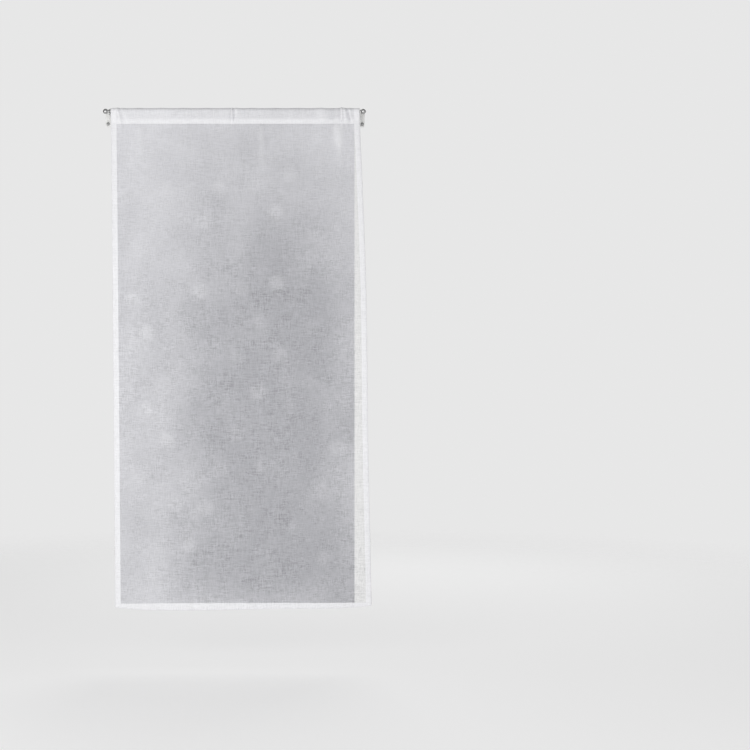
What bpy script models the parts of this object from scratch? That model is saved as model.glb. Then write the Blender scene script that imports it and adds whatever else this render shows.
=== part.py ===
"""A short sheer curtain with a rod pocket, on a thin round rod that two small brackets carry.

Frame: X runs right across the curtain, Y runs away from the room, and Z is up. The origin is on the
back face of the left bracket's plate, level with the rod's axis. Everything is in metres.
"""

import math

import bmesh
import bpy
import numpy as np

MM = 0.001
GAP = 0.3 * MM  # between two pieces that touch

# The rod lies level in front of what the brackets are screwed to
ROD_Y = -20 * MM
ROD_RADIUS = 6.0 * MM
ROD_WALL = 1.0 * MM
BRACKET_SPACING = 612.9 * MM
ROUND_SIDES = 24
SHARP_ANGLE = math.radians(40)  # edges sharper than this stay crisp

# Turned end of the rod, measured along its axis from the middle of the ball
BALL_RADIUS = 6.2 * MM
BALL_STEPS = 9
NECK_RADIUS = 3.0 * MM
NECK_MIDDLE = 6.7 * MM
NECK_END = 8.0 * MM
COLLAR_RADIUS = 6.1 * MM
COLLAR_RIM = 11.1 * MM
COLLAR_END = 11.5 * MM
FLARE_STEPS = 4
FLARE_BEND = 1.5  # power of the flare, straight at 1
SPIGOT_LENGTH = 15 * MM

# Bracket: a plate with round corners, and an arm at its inner side that ends in a cradle for the neck
PLATE_WIDTH = 12 * MM
PLATE_TOP = 8 * MM
PLATE_FOOT = -35 * MM
PLATE_THICKNESS = 2 * MM
PLATE_CORNER = 3 * MM
CORNER_STEPS = 4
ARM_SHIFT = 3.8 * MM  # from the plate's middle towards the curtain
ARM_THICKNESS = 2 * MM
ARM_ROOT_TOP = -3 * MM
ARM_ROOT_FOOT = -8.5 * MM
ARM_LAP = 1 * MM  # how far the arm's root reaches into the plate
CRADLE_INNER = NECK_RADIUS + 0.35 * MM
CRADLE_OUTER = CRADLE_INNER + 2 * MM
CRADLE_LIP = 2.5 * MM  # height of its back above the rod's axis
CRADLE_MOUTH = math.radians(25)  # how far below level its front ends
CRADLE_STEPS = 10

# Screw at the plate's foot
SCREW_Z = -27.5 * MM
SCREW_HOLE_RADIUS = 2.1 * MM
SCREW_SHANK_RADIUS = 1.7 * MM
SCREW_HEAD_RADIUS = 4.0 * MM
SCREW_HEAD_RISE = 2.2 * MM
SCREW_HEAD_RIM = 0.5 * MM
SCREW_HEAD_STEPS = 5

# Cloth, with its hems folded to the back
CLOTH = 1.0 * MM
HEM_EXTRA = 0.5 * MM
SIDE_HEM = 13 * MM
LOWER_HEM = 15 * MM
LEDGE = 0.6 * MM  # run of the step where a hem begins
POINT_MATCH = 0.001 * MM  # two places closer than this are one

# Rod pocket: round over the rod, and straight below it down to the stitch line
POCKET_RADIUS = 6.7 * MM
POCKET_STITCH = 30 * MM
POCKET_FOOT = 27 * MM
POCKET_LEDGE = 31.5 * MM
POCKET_FACE = -1.5 * MM  # front of the cloth at the stitch line and below it
TUNNEL_FOOT = 0.6 * MM  # width left inside the pocket at its foot
BAND_TOP = 15 * MM  # upper edge of the turned-under strip inside the pocket
POCKET_LEAN = math.radians(12)
ARC_STEPS = 8
TOP_LIFT = 0.5 * MM
TOP_LIFT_WAVES = 11
PUFF_SHARE = 0.35  # how much of a fold the cloth above the rod shows

# Distance below the rod's axis, and the two side edges there, all in millimetres
SIDE_EDGES = (
    # drop, left, right
    (-10, 10.0, 606.5),
    (30, 10.2, 607.3),
    (120, 11.0, 611.3),
    (260, 12.3, 617.2),
    (400, 13.6, 622.0),
    (620, 15.6, 625.6),
    (760, 16.9, 626.8),
    (1050, 19.6, 632.8),
    (1200, 20.9, 636.2),
)

# Share of the width, and how far below the rod's axis the lower edge hangs there, in millimetres
LOWER_EDGE = (
    # share, drop
    (0.00, 1190.4),
    (0.10, 1195.8),
    (0.25, 1197.8),
    (0.41, 1196.9),
    (0.56, 1194.5),
    (0.72, 1193.5),
    (0.87, 1192.1),
    (0.97, 1188.5),
    (1.00, 1185.8),
)

# Each soft ridge, or trough where depth is negative, in millimetres. Across is measured from the left
# edge along the heading. A fold starts at top, is whole FOLD_RISE lower and down to whole, and is gone
# at gone.
FOLD_RISE = 20
FOLDS = (
    # across, half_width, depth, top, whole, gone
    (18, 5, 1.6, -20, 20, 55),
    (67, 14, 2.2, 25, 60, 150),
    (291.6, 2.6, 3.6, -20, 28, 60),
    (300, 6, -1.2, -20, 28, 80),
    (358, 13, 2.2, 25, 60, 190),
    (530, 9, -1.2, -20, 30, 110),
    (549, 5, 3.2, -20, 40, 170),
    (562, 5, -3.0, -20, 45, 120),
    (574, 3.6, 2.2, -20, 24, 70),
    (586, 5, 2.6, 10, 60, 210),
)

# Wide, slow waves over the whole cloth, in millimetres. Slant is how far a wave moves sideways for
# each millimetre of drop.
WAVES = (
    # length, slant, start, height
    (410, 0.10, 60, 1.7),
    (233, -0.16, 20, 1.0),
    (137, 0.07, 90, 0.5),
)
WAVES_FULL = 260 * MM  # drop at which the waves reach their height

# Columns of the cloth, from the left edge along the heading in millimetres: closer at the folds
COLUMN_SPANS = (
    # start, end, steps
    (13.6, 30, 3),
    (30, 52, 1),
    (52, 82, 4),
    (82, 284, 6),
    (284, 304, 9),
    (304, 344, 2),
    (344, 372, 4),
    (372, 522, 4),
    (522, 582.9, 17),
)

# Rows of the cloth below the pocket, in millimetres below the rod's axis
ROW_SPANS = (
    # start, end, steps
    (31.5, 75, 3),
    (75, 210, 4),
    (210, 450, 3),
    (450, 1150, 5),
)

MATERIALS = {
    # name: colour, roughness, metallic
    "voile": ((0.88, 0.89, 0.91, 1.0), 0.9, 0.0),
    "polished_metal": ((0.72, 0.72, 0.71, 1.0), 0.18, 1.0),
    "white_plastic": ((0.85, 0.85, 0.84, 1.0), 0.4, 0.0),
}


def clear_scene():
    for obj in list(bpy.data.objects):
        bpy.data.objects.remove(obj, do_unlink=True)


def make_material(name):
    colour, roughness, metallic = MATERIALS[name]
    material = bpy.data.materials.new(name)
    material.use_nodes = True
    shader = material.node_tree.nodes["Principled BSDF"]
    shader.inputs["Base Color"].default_value = colour
    shader.inputs["Roughness"].default_value = roughness
    shader.inputs["Metallic"].default_value = metallic
    return material


def add_object(name, points, faces, material):
    """A closed solid of these points and faces, its faces turned outwards."""
    mesh = bpy.data.meshes.new(name)
    mesh.from_pydata(points, [], faces)
    shell = bmesh.new()
    shell.from_mesh(mesh)
    bmesh.ops.recalc_face_normals(shell, faces=shell.faces)
    shell.to_mesh(mesh)
    shell.free()
    mesh.materials.append(material)
    obj = bpy.data.objects.new(name, mesh)
    bpy.context.scene.collection.objects.link(obj)
    return obj


def smooth_step(low, high, value):
    share = min(max((value - low) / (high - low), 0.0), 1.0)
    return share * share * (3 - 2 * share)


def smooth_value(places, values, at):
    """Value at one place on the smooth curve through the given values."""
    slopes = np.gradient(values, places)
    i = int(np.clip(np.searchsorted(places, at) - 1, 0, len(places) - 2))
    span = places[i + 1] - places[i]
    t = (at - places[i]) / span
    rise = values[i + 1] - values[i]
    near, far = slopes[i] * span, slopes[i + 1] * span
    return values[i] + t * near + t * t * (3 * rise - 2 * near - far) + t**3 * (near + far - 2 * rise)


def spaced(spans):
    """Places in metres, evenly spaced within each (start, end, steps) span of millimetres."""
    places = [spans[0][0] * MM]
    for start, end, steps in spans:
        places += [(start + (end - start) * k / steps) * MM for k in range(1, steps + 1)]
    return places


def turned(name, profile, material, closed=False):
    """A solid turned about X. The profile's (along, radius) points end on the axis, or form a ring."""
    points, rings = [], []
    for along, radius in profile:
        count = ROUND_SIDES if radius > 0 else 1
        rings.append([len(points) + k for k in range(count)])
        for k in range(count):
            angle = math.tau * k / ROUND_SIDES
            points.append((along, radius * math.cos(angle), radius * math.sin(angle)))
    pairs = list(zip(rings, rings[1:])) + ([(rings[-1], rings[0])] if closed else [])
    faces = []
    for near, far in pairs:
        for k in range(ROUND_SIDES):
            corners = [near[k % len(near)], near[(k + 1) % len(near)]]
            corners += [far[(k + 1) % len(far)], far[k % len(far)]]
            faces.append(list(dict.fromkeys(corners)))
    obj = add_object(name, points, faces, material)
    obj.data.shade_smooth()
    obj.data.set_sharp_from_angle(angle=SHARP_ANGLE)
    return obj


def extruded(name, outline, depth, material):
    """A slab of the given outline: closed polygon of 3-D points, pushed along the vector depth."""
    count = len(outline)
    points = [*outline, *(tuple(a + b for a, b in zip(p, depth)) for p in outline)]
    sides = [(k, (k + 1) % count, count + (k + 1) % count, count + k) for k in range(count)]
    return add_object(name, points, [range(count), range(count, 2 * count), *sides], material)


def add_boolean(obj, other, operation):
    """Unites obj with the helper other, or cuts it away. The helper itself isn't part of the model."""
    other.hide_render = True
    other.display_type = "WIRE"
    other.parent = obj
    modifier = obj.modifiers.new(operation.lower(), "BOOLEAN")
    modifier.operation = operation
    modifier.object = other


def rod_tube(material):
    """Tube between the two collars, which it meets end to end."""
    left, right = ball_places()
    start, end = left + COLLAR_END + GAP, right - COLLAR_END - GAP
    inner = ROD_RADIUS - ROD_WALL
    profile = [(start, inner), (start, ROD_RADIUS), (end, ROD_RADIUS), (end, inner)]
    tube = turned("rod_tube", profile, material, closed=True)
    tube.location = (0, ROD_Y, 0)


def ball_places():
    """Middle of the left and of the right ball along X."""
    left_neck, right_neck = ARM_SHIFT, BRACKET_SPACING - ARM_SHIFT
    return left_neck - NECK_MIDDLE, right_neck + NECK_MIDDLE


def finial_profile():
    """Ball, neck, flared collar and the spigot that is pushed into the tube."""
    meet = math.asin(NECK_RADIUS / BALL_RADIUS)
    profile = []
    for k in range(BALL_STEPS + 1):
        angle = math.pi - (math.pi - meet) * k / BALL_STEPS
        radius = BALL_RADIUS * math.sin(angle) if k else 0.0
        profile.append((BALL_RADIUS * math.cos(angle), radius))
    for k in range(FLARE_STEPS + 1):
        share = k / FLARE_STEPS
        along = NECK_END + (COLLAR_RIM - NECK_END) * share
        profile.append((along, NECK_RADIUS + (COLLAR_RADIUS - NECK_RADIUS) * share**FLARE_BEND))
    spigot = ROD_RADIUS - ROD_WALL - GAP
    end = COLLAR_END + SPIGOT_LENGTH
    return profile + [(COLLAR_END, COLLAR_RADIUS), (COLLAR_END, spigot), (end, spigot), (end, 0.0)]


def finials(material):
    left, right = ball_places()
    for name, middle, turn in (("finial_left", left, 0.0), ("finial_right", right, math.pi)):
        finial = turned(name, finial_profile(), material)
        finial.location = (middle, ROD_Y, 0)
        finial.rotation_euler = (0, turn, 0)


def plate_outline():
    """Rectangle with round corners, on the plate's back face."""
    half = PLATE_WIDTH / 2 - PLATE_CORNER
    corners = (
        # x, z, angle where the corner's arc starts
        (half, PLATE_TOP - PLATE_CORNER, 0),
        (-half, PLATE_TOP - PLATE_CORNER, 90),
        (-half, PLATE_FOOT + PLATE_CORNER, 180),
        (half, PLATE_FOOT + PLATE_CORNER, 270),
    )
    outline = []
    for x, z, start in corners:
        for k in range(CORNER_STEPS + 1):
            angle = math.radians(start + 90 * k / CORNER_STEPS)
            outline.append((x + PLATE_CORNER * math.cos(angle), 0, z + PLATE_CORNER * math.sin(angle)))
    return outline


def arm_outline(x):
    """Side view of the arm at x: root in the plate, and a cradle that is open at the top and front."""
    root_y = ARM_LAP - PLATE_THICKNESS
    yz = [(root_y, ARM_ROOT_TOP), (ROD_Y + CRADLE_OUTER, ARM_ROOT_TOP), (ROD_Y + CRADLE_OUTER, CRADLE_LIP)]
    yz.append((ROD_Y + CRADLE_INNER, CRADLE_LIP))
    sweep = math.pi - CRADLE_MOUTH
    for k in range(CRADLE_STEPS + 1):
        angle = -sweep * k / CRADLE_STEPS
        yz.append((ROD_Y + CRADLE_INNER * math.cos(angle), CRADLE_INNER * math.sin(angle)))
    for k in range(CRADLE_STEPS // 2 + 1):
        angle = -sweep + (sweep - math.pi / 2) * k / (CRADLE_STEPS // 2)
        yz.append((ROD_Y + CRADLE_OUTER * math.cos(angle), CRADLE_OUTER * math.sin(angle)))
    yz.append((root_y, ARM_ROOT_FOOT))
    return [(x - ARM_THICKNESS / 2, y, z) for y, z in yz]


def bracket(name, x, arm_x, material):
    plate = extruded(name, plate_outline(), (0, -PLATE_THICKNESS, 0), material)
    plate.location = (x, 0, 0)
    arm = extruded(name + "_arm", arm_outline(arm_x), (ARM_THICKNESS, 0, 0), material)
    add_boolean(plate, arm, "UNION")
    reach = 2 * PLATE_THICKNESS
    drill = [(-reach, 0.0), (-reach, SCREW_HOLE_RADIUS), (reach, SCREW_HOLE_RADIUS), (reach, 0.0)]
    hole = turned(name + "_hole", drill, material)
    hole.location = (0, 0, SCREW_Z)
    hole.rotation_euler = (0, 0, math.pi / 2)
    add_boolean(plate, hole, "DIFFERENCE")


def screw(name, x, material):
    """Domed head on the plate, and the shank as far as the plate's back face."""
    seat = -PLATE_THICKNESS - GAP
    rim = seat - SCREW_HEAD_RIM
    profile = []
    for k in range(SCREW_HEAD_STEPS + 1):
        angle = math.pi / 2 * k / SCREW_HEAD_STEPS
        along = rim - (SCREW_HEAD_RISE - SCREW_HEAD_RIM) * math.cos(angle)
        profile.append((along, SCREW_HEAD_RADIUS * math.sin(angle)))
    profile += [(seat, SCREW_HEAD_RADIUS), (seat, SCREW_SHANK_RADIUS), (0.0, SCREW_SHANK_RADIUS), (0.0, 0.0)]
    head = turned(name, profile, material)
    head.location = (x, 0, SCREW_Z)
    head.rotation_euler = (0, 0, math.pi / 2)


def fold_depth(across, drop):
    """How far towards the room the folds and waves push the cloth."""
    depth = 0.0
    for place, half_width, height, top, whole, gone in FOLDS:
        strength = smooth_step(top, top + FOLD_RISE, drop / MM) * (1 - smooth_step(whole, gone, drop / MM))
        depth += height * MM * strength * math.exp(-(((across / MM - place) / half_width) ** 2))
    swing = smooth_step(POCKET_STITCH, WAVES_FULL, drop)
    for length, slant, start, height in WAVES:
        turn = (across / MM - start + slant * drop / MM) / length
        depth += height * MM * swing * math.sin(math.tau * turn)
    return depth


def edge_x(share, drop):
    """X of the cloth at one share of its width, from 0 on the left to 1 on the right."""
    drops, left, right = np.array(SIDE_EDGES).T
    near = smooth_value(drops, left, drop / MM)
    far = smooth_value(drops, right, drop / MM)
    return (near + share * (far - near)) * MM


def lower_edge(share):
    shares, drops = np.array(LOWER_EDGE).T
    return smooth_value(shares, drops, share) * MM


def pocket_section(across, layer):
    """Outer and inner points (y, z) of the pocket, from its back foot over the rod to its front foot."""
    angles = [-POCKET_LEAN + (math.pi + 2 * POCKET_LEAN) * k / ARC_STEPS for k in range(ARC_STEPS + 1)]
    lift = TOP_LIFT * math.sin(math.tau * TOP_LIFT_WAVES * across / heading_width())
    outer, inner = [], []
    for angle in angles:
        y, z = math.cos(angle), math.sin(angle)
        grow = (fold_depth(across, 0.0) * PUFF_SHARE * (1 - y) / 2 + lift * z) * max(z, 0.0)
        inside = POCKET_RADIUS + max(grow, 0.0)
        inner.append((inside * y, inside * z))
        outer.append(((inside + layer) * y, (inside + layer) * z))
    back = pocket_side(back_foot(layer), outer[0], -layer, 2)
    front = pocket_side(POCKET_FACE, outer[-1], layer, 1)
    outer = [p for p, _ in back] + outer + [p for p, _ in reversed(front)]
    inner = [p for _, p in back] + inner + [p for _, p in reversed(front)]
    return outer, inner


def back_foot(layer):
    """Y of the pocket's back at the stitch line: behind the front, the turned-under strip and the back."""
    return POCKET_FACE + 3 * layer + TUNNEL_FOOT


def pocket_side(foot_y, arc_end, inwards, strip_layers):
    """Outer and inner points of one straight side below the rod, from its foot up. Inwards is one layer
    of cloth along Y, and strip_layers is how many there are beside the turned-under strip."""
    rows = (
        # drop of the outer point, drop of the inner one, layers of cloth
        (POCKET_STITCH, POCKET_FOOT, strip_layers),
        (BAND_TOP + LEDGE, BAND_TOP + LEDGE, strip_layers),
        (BAND_TOP, BAND_TOP, 1),
    )
    top_y, top_z = arc_end

    def line_y(drop):
        return foot_y + (top_y - foot_y) * (POCKET_STITCH - drop) / (POCKET_STITCH + top_z)

    return [
        ((line_y(low), -low), (line_y(high) + layers * inwards, -high))
        for low, high, layers in rows
    ]


def heading_width():
    return edge_x(1.0, 0.0) - edge_x(0.0, 0.0)


def column_places():
    """Distances from the left edge along the heading, with both sides of each side hem's ledge."""
    width = heading_width()
    return [0.0, SIDE_HEM, *spaced(COLUMN_SPANS), width - SIDE_HEM, width]


def cloth_column(across):
    """Outer loop, inner loop and tail rows of the cloth's section at one place across it."""
    share = across / heading_width()
    hemmed = min(share, 1 - share) * heading_width() <= SIDE_HEM + POINT_MATCH
    layer = CLOTH + (HEM_EXTRA if hemmed else 0.0)
    outer, inner = pocket_section(across, layer)
    ring = [swayed(share, across, y, z) for y, z in outer]
    tunnel = [swayed(share, across, y, z) for y, z in inner]
    foot = lower_edge(share)
    drops = [*spaced(ROW_SPANS), foot - LOWER_HEM - LEDGE, foot - LOWER_HEM, foot]
    front, back = [], []
    for drop in drops:
        thick = layer + (HEM_EXTRA if drop > foot - LOWER_HEM - LEDGE / 2 else 0.0)
        front.append(swayed(share, across, POCKET_FACE, -drop))
        back.append(swayed(share, across, POCKET_FACE + thick, -drop))
    ledge = swayed(share, across, back_foot(layer), -POCKET_LEDGE)
    return ring, tunnel, front, back, ledge


def swayed(share, across, y, z):
    """A section's point set in place, moved towards the room by the folds below the rod."""
    drop = -z
    push = fold_depth(across, drop) * smooth_step(ROD_RADIUS, POCKET_STITCH, drop)
    return edge_x(share, drop), ROD_Y + y - push, z


def curtain_panel(material):
    """The cloth's section at each column, joined from column to column and closed at both side edges."""
    points, faces, columns = [], [], []
    for across in column_places():
        ring, tunnel, front, back, ledge = cloth_column(across)
        first = len(points)
        points += ring + front + back[::-1] + [ledge] + tunnel
        ring_ids = list(range(first, first + len(ring)))
        front_ids = list(range(ring_ids[-1] + 1, ring_ids[-1] + 1 + len(front)))
        back_ids = list(range(front_ids[-1] + 1, front_ids[-1] + 1 + len(back)))
        ledge_id = back_ids[-1] + 1
        tunnel_ids = list(range(ledge_id + 1, ledge_id + 1 + len(tunnel)))
        columns.append((ring_ids, front_ids, back_ids[::-1], ledge_id, tunnel_ids))
    for near, far in zip(columns, columns[1:]):
        for loop in (outer_loop, inner_loop):
            a, b = loop(near), loop(far)
            for k in range(len(a)):
                n = (k + 1) % len(a)
                faces.append((a[k], a[n], b[n], b[k]))
    for column in (columns[0], columns[-1]):
        faces += end_faces(*column)
    return add_object("curtain_panel", points, faces, material)


def outer_loop(column):
    ring, front, back, ledge, _ = column
    return ring + front + back[::-1] + [ledge]


def inner_loop(column):
    return column[4]


def end_faces(ring, front, back, ledge, tunnel):
    """Faces that close the cloth at a side edge: around the pocket, at its foot, and down the tail."""
    faces = [(ring[k], ring[k + 1], tunnel[k + 1], tunnel[k]) for k in range(len(ring) - 1)]
    faces.append((ring[-1], ring[0], tunnel[0], tunnel[-1]))
    faces.append((ring[-1], front[0], back[0], ledge, ring[0]))
    faces += [(front[k], front[k + 1], back[k + 1], back[k]) for k in range(len(front) - 1)]
    return faces


def main():
    clear_scene()
    materials = {name: make_material(name) for name in MATERIALS}
    curtain_panel(materials["voile"])
    rod_tube(materials["polished_metal"])
    finials(materials["polished_metal"])
    for side, x, arm_x in (("left", 0.0, ARM_SHIFT), ("right", BRACKET_SPACING, -ARM_SHIFT)):
        bracket("bracket_" + side, x, arm_x, materials["white_plastic"])
        screw("screw_" + side, x, materials["polished_metal"])


main()
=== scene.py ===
"""A short white voile curtain with soft dots on a thin polished rod, in a pale studio.

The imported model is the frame: every piece below takes its place from it. Lengths are in metres, and
MM turns a size in millimetres into them.
"""

import math

import bmesh
import bpy
import numpy as np
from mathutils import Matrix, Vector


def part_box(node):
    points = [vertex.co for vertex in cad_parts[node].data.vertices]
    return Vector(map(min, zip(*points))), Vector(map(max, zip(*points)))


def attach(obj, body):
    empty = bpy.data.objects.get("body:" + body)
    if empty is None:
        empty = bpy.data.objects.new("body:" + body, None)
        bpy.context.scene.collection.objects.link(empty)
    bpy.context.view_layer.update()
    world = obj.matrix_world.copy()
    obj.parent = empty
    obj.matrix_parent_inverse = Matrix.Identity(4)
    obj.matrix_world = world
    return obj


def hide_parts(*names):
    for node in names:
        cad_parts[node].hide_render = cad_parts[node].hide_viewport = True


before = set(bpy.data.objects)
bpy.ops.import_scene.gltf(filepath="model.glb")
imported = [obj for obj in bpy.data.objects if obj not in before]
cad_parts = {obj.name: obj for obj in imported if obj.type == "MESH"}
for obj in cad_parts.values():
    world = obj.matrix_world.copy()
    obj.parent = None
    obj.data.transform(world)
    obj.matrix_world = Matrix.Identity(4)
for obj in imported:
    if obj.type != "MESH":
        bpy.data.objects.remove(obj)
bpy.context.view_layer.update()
MM = 0.001


# Rod. A thin-walled steel tube, polished and chromed, that the cloth's pocket is threaded on. It is
# drawn as a seamless tube with its two cut ends rounded over, and the ball ends are pushed into it.

ROD_WALL = 1.0 * MM
ROD_ROUND = 0.25 * MM
ROD_SIDES = 64
HAZE_GRAIN = 3 * MM
HAZE_RANGE = (0.35, 0.7)
HAZE_DULLS = 0.08
TURNING_MARK = (0.12 * MM, 40 * MM, 40 * MM)
MARK_DULLS = 0.03
MARK_STRENGTH = 0.12
MARK_DEPTH = 0.02 * MM


class Wire:
    """A socket in a material's node tree. Arithmetic on wires adds the Math nodes that work it out."""

    def __init__(self, tree, socket=None):
        self.tree, self.socket = tree, socket

    def node(self, kind, settings=None, inputs=None, output=0):
        """Adds a node of any kind: its settings first, then the values or wires of its sockets."""
        made = self.tree.nodes.new(kind)
        for name, value in (settings or {}).items():
            setattr(made, name, value)
        for name, value in (inputs or {}).items():
            if isinstance(value, Wire):
                self.tree.links.new(value.socket, made.inputs[name])
            else:
                made.inputs[name].default_value = value
        return Wire(self.tree, made.outputs[output])

    def into(self, shader, name):
        """Links this value to the named socket of a shader."""
        self.tree.links.new(self.socket, shader.inputs[name])

    def math(self, operation, first, second=0.0):
        """The result of a Math node on two numbers or wires."""
        return self.node("ShaderNodeMath", {"operation": operation}, {0: first, 1: second})

    def __add__(self, other):
        return self.math("ADD", self, other)

    def __sub__(self, other):
        return self.math("SUBTRACT", self, other)

    def __rsub__(self, other):
        return self.math("SUBTRACT", other, self)

    def __mul__(self, other):
        return self.math("MULTIPLY", self, other)

    __radd__, __rmul__ = __add__, __mul__

    def scaled(self, size):
        """This vector, each of its axes multiplied by its own number."""
        return self.node("ShaderNodeVectorMath", {"operation": "MULTIPLY"}, {0: self, 1: size})

    def noise(self, size, detail=2.0, roughness=0.5):
        """Noise whose grains are of the given size along each axis, in metres."""
        place = self.scaled(tuple(1 / s for s in size))
        inputs = {"Vector": place, "Scale": 1.0, "Detail": detail, "Roughness": roughness}
        return self.node("ShaderNodeTexNoise", {}, inputs)

    def ramp(self, low, high, first=0.0, last=1.0):
        """Soft step from first to last as this value goes from low to high."""
        inputs = {"Value": self, "From Min": low, "From Max": high, "To Min": first, "To Max": last}
        return self.node("ShaderNodeMapRange", {"interpolation_type": "SMOOTHSTEP"}, inputs)

    def mix(self, first, second):
        """The colour between first and second that this value, from 0 to 1, picks."""
        return self.node("ShaderNodeMix", {"data_type": "RGBA"}, {0: self, 6: first, 7: second}, 2)

    def bump(self, strength, distance):
        """Normal of a surface that this value raises, by the given distance where it is 1."""
        return self.node("ShaderNodeBump", {}, {"Height": self, "Strength": strength, "Distance": distance})


def finish_of(name, constants):
    """A material with these plain values in its Principled shader, that shader, and its coordinates."""
    made = bpy.data.materials.new(name)
    made.use_nodes = True
    shader = made.node_tree.nodes["Principled BSDF"]
    for socket, value in constants.items():
        shader.inputs[socket].default_value = value
    return made, shader, Wire(made.node_tree).node("ShaderNodeTexCoord", output="Object")


def grey(level, tint=0.0):
    """Colour of that grey level, a little bluer where tint is above 0."""
    return (level, level, level + tint, 1.0)


def polished_metal(name, dark, light, dull):
    """Metal with faint turning marks round the axis and a haze of fine wipe marks."""
    made, shader, place = finish_of(name, {"Metallic": 1.0})
    haze = place.noise((HAZE_GRAIN, HAZE_GRAIN, HAZE_GRAIN), detail=3.0)
    marks = place.noise(TURNING_MARK, detail=1.0)
    haze.mix(grey(dark), grey(light)).into(shader, "Base Color")
    (haze.ramp(*HAZE_RANGE, dull, dull + HAZE_DULLS) + marks * MARK_DULLS).into(shader, "Roughness")
    marks.bump(MARK_STRENGTH, MARK_DEPTH).into(shader, "Normal")
    return made


def add_piece(name, points, faces, material, node=None, sharp=50):
    """A mesh in its finish. With a node, it is on the object's one body and stands for that solid.

    Edges where the surface turns by more than sharp degrees stay sharp.
    """
    mesh = bpy.data.meshes.new(name)
    mesh.from_pydata([tuple(p) for p in points], [], [tuple(f) for f in faces])
    work = bmesh.new()
    work.from_mesh(mesh)
    bmesh.ops.recalc_face_normals(work, faces=work.faces)
    work.to_mesh(mesh)
    work.free()
    mesh.materials.append(material)
    mesh.shade_smooth()
    mesh.set_sharp_from_angle(angle=math.radians(sharp))
    piece = bpy.data.objects.new(name, mesh)
    bpy.context.scene.collection.objects.link(piece)
    if node:
        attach(piece, "root")
        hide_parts(node)
    return piece


def turned(profile, sides, place, axis):
    """Points and faces of a solid turned about the given axis through place, from (along, radius) rows."""
    along_axis = np.array(axis, float)
    across = np.array((0.0, 0.0, 1.0))
    third = np.cross(along_axis, across)
    points, rings, faces = [], [], []
    for along, radius in profile:
        count = sides if radius > 0 else 1
        rings.append([len(points) + k for k in range(count)])
        for k in range(count):
            angle = math.tau * k / sides
            spoke = across * math.cos(angle) + third * math.sin(angle)
            points.append(np.array(place) + along_axis * along + spoke * radius)
    for near, far in zip(rings, rings[1:]):
        for k in range(sides):
            n = k + 1
            corners = (near[k % len(near)], near[n % len(near)], far[n % len(far)], far[k % len(far)])
            faces.append(tuple(dict.fromkeys(corners)))
    return points, faces


CHROME = polished_metal("polished_chrome", dark=0.42, light=0.52, dull=0.14)
rod_low, rod_high = (np.array(corner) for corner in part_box("rod_tube"))
ROD_AXIS = (rod_low + rod_high) / 2
ROD_RADIUS = (rod_high[2] - rod_low[2]) / 2
half = (rod_high[0] - rod_low[0]) / 2
tube_profile = [
    (-half + ROD_ROUND, ROD_RADIUS - ROD_WALL),
    (-half, ROD_RADIUS - ROD_WALL + ROD_ROUND),
    (-half, ROD_RADIUS - ROD_ROUND),
    (-half + ROD_ROUND, ROD_RADIUS),
    (half - ROD_ROUND, ROD_RADIUS),
    (half, ROD_RADIUS - ROD_ROUND),
    (half, ROD_RADIUS - ROD_WALL + ROD_ROUND),
    (half - ROD_ROUND, ROD_RADIUS - ROD_WALL),
    (-half + ROD_ROUND, ROD_RADIUS - ROD_WALL),
]
rod = add_piece("rod", *turned(tube_profile, ROD_SIDES, ROD_AXIS, (1, 0, 0)), CHROME, "rod_tube")


# Ball ends. Each is one turned piece of polished metal: a ball, a short neck that rests in the
# bracket, a collar that flares to the tube's width with a fine groove in its rim, and a spigot.

BALL_RADIUS = 6.2 * MM
NECK_RADIUS = 3.0 * MM
NECK_END = 8.0 * MM
NECK_WAIST = 0.96
COLLAR_RADIUS = 6.1 * MM
COLLAR_END = 11.5 * MM
COLLAR_RIM = 1.1 * MM
FLARE_POWER = 0.9
GROOVE = 0.25 * MM
SPIGOT_RADIUS = 4.7 * MM
SPIGOT_LENGTH = 15 * MM
BALL_STEPS = 28
FLARE_STEPS = 10
END_SIDES = 72
TURNED_SHARP = 35


def ball_end_profile():
    """Rows of (distance from the ball's middle towards the rod, radius)."""
    meet = math.asin(NECK_RADIUS / BALL_RADIUS)
    rows = [(-BALL_RADIUS, 0.0)]
    for k in range(1, BALL_STEPS + 1):
        angle = math.pi - (math.pi - meet) * k / BALL_STEPS
        rows.append((BALL_RADIUS * math.cos(angle), BALL_RADIUS * math.sin(angle)))
    rows.append((rows[-1][0] + GROOVE, NECK_RADIUS * NECK_WAIST))
    rows.append((NECK_END - GROOVE, NECK_RADIUS * NECK_WAIST))
    flare_end = COLLAR_END - COLLAR_RIM
    for k in range(FLARE_STEPS + 1):
        share = k / FLARE_STEPS
        rise = (COLLAR_RADIUS - NECK_RADIUS) * (1 - math.cos(share * math.pi / 2)) ** FLARE_POWER
        rows.append((NECK_END + (flare_end - NECK_END) * share, NECK_RADIUS + rise))
    rows += [
        (flare_end + GROOVE, COLLAR_RADIUS - GROOVE),
        (flare_end + 2 * GROOVE, COLLAR_RADIUS),
        (COLLAR_END - GROOVE / 2, COLLAR_RADIUS),
        (COLLAR_END, COLLAR_RADIUS - GROOVE / 2),
        (COLLAR_END, SPIGOT_RADIUS),
        (COLLAR_END + SPIGOT_LENGTH, SPIGOT_RADIUS),
        (COLLAR_END + SPIGOT_LENGTH, 0.0),
    ]
    return rows


for side, towards_rod in (("left", 1), ("right", -1)):
    low, high = (np.array(corner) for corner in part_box("finial_" + side))
    outer = low[0] if towards_rod > 0 else high[0]
    middle = (outer + towards_rod * BALL_RADIUS, ROD_AXIS[1], ROD_AXIS[2])
    shape = turned(ball_end_profile(), END_SIDES, middle, (towards_rod, 0, 0))
    ball_end = add_piece("ball_end_" + side, *shape, CHROME, "finial_" + side, TURNED_SHARP)


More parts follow.
